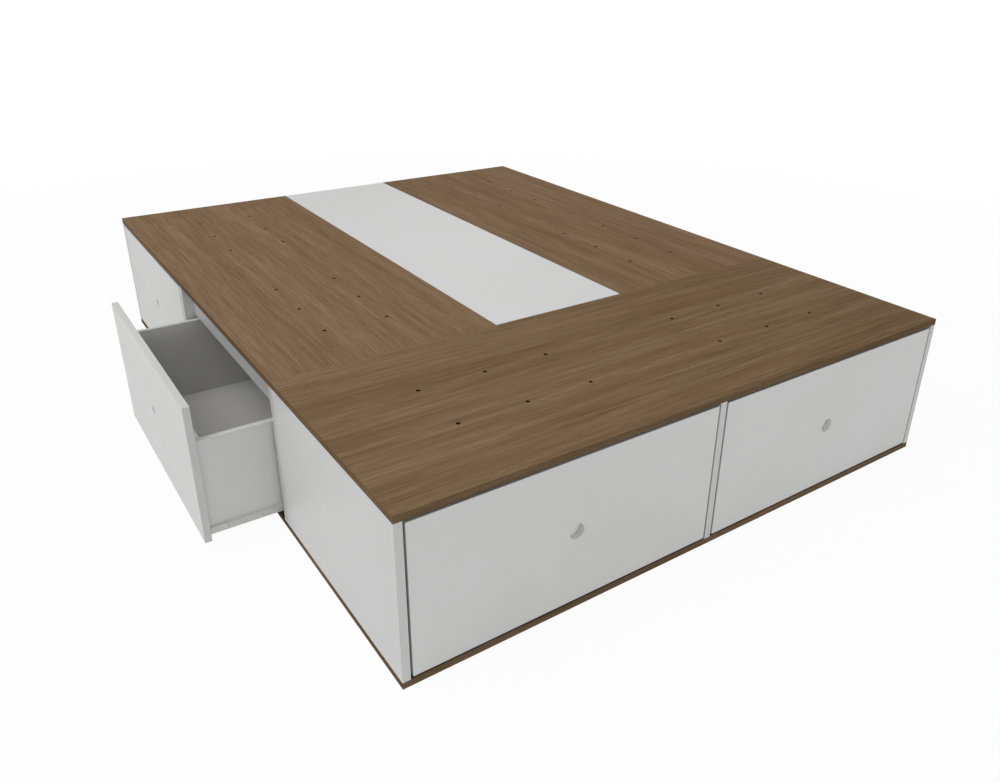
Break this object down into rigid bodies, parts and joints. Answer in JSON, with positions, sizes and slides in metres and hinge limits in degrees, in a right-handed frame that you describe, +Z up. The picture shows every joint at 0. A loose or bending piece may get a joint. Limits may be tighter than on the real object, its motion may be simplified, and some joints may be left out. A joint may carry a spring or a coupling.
{
  "type": "storage bed",
  "caption": "Low storage bed: drawer cabinets with wood-grain tops in a U round a lift-out white panel, white drawer fronts with round finger holes.",
  "frame": {"origin": "on the floor, at the middle of the bed's foot end", "axes": "+X to the right across the bed as seen from its foot, +Y from the foot to the head, +Z up"},
  "size_m": [1.786, 2.103, 0.395],
  "materials": {
    "white_lacquer": "satin white lacquered board",
    "wood_top": "matt straight-grained brown veneer",
    "drawer_board": "smooth white-coated board",
    "drawer_bottom": "smooth white-coated thin board",
    "runner_white": "white powder-coated steel sheet",
    "roller_plastic": "natural moulded plastic",
    "bolt_steel": "zinc-plated steel",
    "batten_wood": "planed softwood"
  },
  "bodies": {
    "carcass": {"foot_top": "wood_top", "foot_base": "wood_top", "foot_uprights": "white_lacquer", "foot_back": "white_lacquer", "left_top": "wood_top", "left_base": "wood_top", "left_uprights": "white_lacquer", "left_back": "white_lacquer", "right_top": "wood_top", "right_base": "wood_top", "right_uprights": "white_lacquer", "right_back": "white_lacquer", "top_rails": "white_lacquer", "cabinet_runners": "runner_white", "tie_bolts": "bolt_steel", "head_board": "white_lacquer", "panel_battens": "batten_wood"},
    "centre_lid": {"centre_panel": "white_lacquer"},
    "foot_left_drawer": {"foot_left_front": "white_lacquer", "foot_left_box_sides": "drawer_board", "foot_left_box_ends": "drawer_board", "foot_left_box_bottom": "drawer_bottom", "foot_left_runners": "runner_white"},
    "foot_left_rear_rollers_body": {"foot_left_rear_rollers": "roller_plastic"},
    "foot_left_front_rollers_body": {"foot_left_front_rollers": "roller_plastic"},
    "foot_right_drawer": {"foot_right_front": "white_lacquer", "foot_right_box_sides": "drawer_board", "foot_right_box_ends": "drawer_board", "foot_right_box_bottom": "drawer_bottom", "foot_right_runners": "runner_white"},
    "foot_right_rear_rollers_body": {"foot_right_rear_rollers": "roller_plastic"},
    "foot_right_front_rollers_body": {"foot_right_front_rollers": "roller_plastic"},
    "left_far_drawer": {"left_far_front": "white_lacquer", "left_far_box_sides": "drawer_board", "left_far_box_ends": "drawer_board", "left_far_box_bottom": "drawer_bottom", "left_far_runners": "runner_white"},
    "left_far_rear_rollers_body": {"left_far_rear_rollers": "roller_plastic"},
    "left_far_front_rollers_body": {"left_far_front_rollers": "roller_plastic"},
    "left_near_drawer": {"left_near_front": "white_lacquer", "left_near_box_sides": "drawer_board", "left_near_box_ends": "drawer_board", "left_near_box_bottom": "drawer_bottom", "left_near_runners": "runner_white"},
    "left_near_rear_rollers_body": {"left_near_rear_rollers": "roller_plastic"},
    "left_near_front_rollers_body": {"left_near_front_rollers": "roller_plastic"},
    "right_near_drawer": {"right_near_front": "white_lacquer", "right_near_box_sides": "drawer_board", "right_near_box_ends": "drawer_board", "right_near_box_bottom": "drawer_bottom", "right_near_runners": "runner_white"},
    "right_near_rear_rollers_body": {"right_near_rear_rollers": "roller_plastic"},
    "right_near_front_rollers_body": {"right_near_front_rollers": "roller_plastic"},
    "right_far_drawer": {"right_far_front": "white_lacquer", "right_far_box_sides": "drawer_board", "right_far_box_ends": "drawer_board", "right_far_box_bottom": "drawer_bottom", "right_far_runners": "runner_white"},
    "right_far_rear_rollers_body": {"right_far_rear_rollers": "roller_plastic"},
    "right_far_front_rollers_body": {"right_far_front_rollers": "roller_plastic"}
  },
  "joints": [
    {"name": "centre_lid_lift", "type": "slide", "parent": "carcass", "child": "centre_lid", "axis": [0, 0, 1], "range_m": [0, 0.45]},
    {"name": "foot_left_drawer_slide", "type": "slide", "parent": "carcass", "child": "foot_left_drawer", "axis": [0, -1, 0], "range_m": [0, 0.41]},
    {"name": "foot_left_front_rollers_turn", "type": "hinge", "parent": "carcass", "child": "foot_left_front_rollers_body", "pos_m": [-0.3955, 0.033, 0.047], "axis": [1, 0, 0], "continuous": true},
    {"name": "foot_left_rear_rollers_turn", "type": "hinge", "parent": "foot_left_drawer", "child": "foot_left_rear_rollers_body", "pos_m": [-0.3955, 0.554, 0.0463], "axis": [1, 0, 0], "continuous": true},
    {"name": "foot_right_drawer_slide", "type": "slide", "parent": "carcass", "child": "foot_right_drawer", "axis": [0, -1, 0], "range_m": [0, 0.41]},
    {"name": "foot_right_front_rollers_turn", "type": "hinge", "parent": "carcass", "child": "foot_right_front_rollers_body", "pos_m": [0.3955, 0.033, 0.047], "axis": [1, 0, 0], "continuous": true},
    {"name": "foot_right_rear_rollers_turn", "type": "hinge", "parent": "foot_right_drawer", "child": "foot_right_rear_rollers_body", "pos_m": [0.3955, 0.554, 0.0463], "axis": [1, 0, 0], "continuous": true},
    {"name": "left_far_drawer_slide", "type": "slide", "parent": "carcass", "child": "left_far_drawer", "axis": [-1, 0, 0], "range_m": [0, 0.41]},
    {"name": "left_far_front_rollers_turn", "type": "hinge", "parent": "carcass", "child": "left_far_front_rollers_body", "pos_m": [-0.767, 1.7215, 0.047], "axis": [0, -1, 0], "continuous": true},
    {"name": "left_far_rear_rollers_turn", "type": "hinge", "parent": "left_far_drawer", "child": "left_far_rear_rollers_body", "pos_m": [-0.249, 1.7215, 0.0463], "axis": [0, -1, 0], "continuous": true},
    {"name": "left_near_drawer_slide", "type": "slide", "parent": "carcass", "child": "left_near_drawer", "axis": [-1, 0, 0], "range_m": [-0.186, 0.224]},
    {"name": "left_near_front_rollers_turn", "type": "hinge", "parent": "carcass", "child": "left_near_front_rollers_body", "pos_m": [-0.767, 0.9765, 0.047], "axis": [0, -1, 0], "continuous": true},
    {"name": "left_near_rear_rollers_turn", "type": "hinge", "parent": "left_near_drawer", "child": "left_near_rear_rollers_body", "pos_m": [-0.435, 0.9765, 0.0463], "axis": [0, -1, 0], "continuous": true},
    {"name": "right_near_drawer_slide", "type": "slide", "parent": "carcass", "child": "right_near_drawer", "axis": [1, 0, 0], "range_m": [0, 0.41]},
    {"name": "right_near_front_rollers_turn", "type": "hinge", "parent": "carcass", "child": "right_near_front_rollers_body", "pos_m": [0.767, 0.9765, 0.047], "axis": [0, 1, 0], "continuous": true},
    {"name": "right_near_rear_rollers_turn", "type": "hinge", "parent": "right_near_drawer", "child": "right_near_rear_rollers_body", "pos_m": [0.249, 0.9765, 0.0463], "axis": [0, 1, 0], "continuous": true},
    {"name": "right_far_drawer_slide", "type": "slide", "parent": "carcass", "child": "right_far_drawer", "axis": [1, 0, 0], "range_m": [0, 0.41]},
    {"name": "right_far_front_rollers_turn", "type": "hinge", "parent": "carcass", "child": "right_far_front_rollers_body", "pos_m": [0.767, 1.7215, 0.047], "axis": [0, 1, 0], "continuous": true},
    {"name": "right_far_rear_rollers_turn", "type": "hinge", "parent": "right_far_drawer", "child": "right_far_rear_rollers_body", "pos_m": [0.249, 1.7215, 0.0463], "axis": [0, 1, 0], "continuous": true}
  ],
  "couplings": [
    {"joint": "foot_left_front_rollers_turn", "follows": "foot_left_drawer_slide", "rad_per_m": 133.33},
    {"joint": "foot_left_rear_rollers_turn", "follows": "foot_left_drawer_slide", "rad_per_m": 133.33},
    {"joint": "foot_right_front_rollers_turn", "follows": "foot_right_drawer_slide", "rad_per_m": 133.33},
    {"joint": "foot_right_rear_rollers_turn", "follows": "foot_right_drawer_slide", "rad_per_m": 133.33},
    {"joint": "left_far_front_rollers_turn", "follows": "left_far_drawer_slide", "rad_per_m": 133.33},
    {"joint": "left_far_rear_rollers_turn", "follows": "left_far_drawer_slide", "rad_per_m": 133.33},
    {"joint": "left_near_front_rollers_turn", "follows": "left_near_drawer_slide", "rad_per_m": 133.33},
    {"joint": "left_near_rear_rollers_turn", "follows": "left_near_drawer_slide", "rad_per_m": 133.33},
    {"joint": "right_near_front_rollers_turn", "follows": "right_near_drawer_slide", "rad_per_m": 133.33},
    {"joint": "right_near_rear_rollers_turn", "follows": "right_near_drawer_slide", "rad_per_m": 133.33},
    {"joint": "right_far_front_rollers_turn", "follows": "right_far_drawer_slide", "rad_per_m": 133.33},
    {"joint": "right_far_rear_rollers_turn", "follows": "right_far_drawer_slide", "rad_per_m": 133.33}
  ]
}
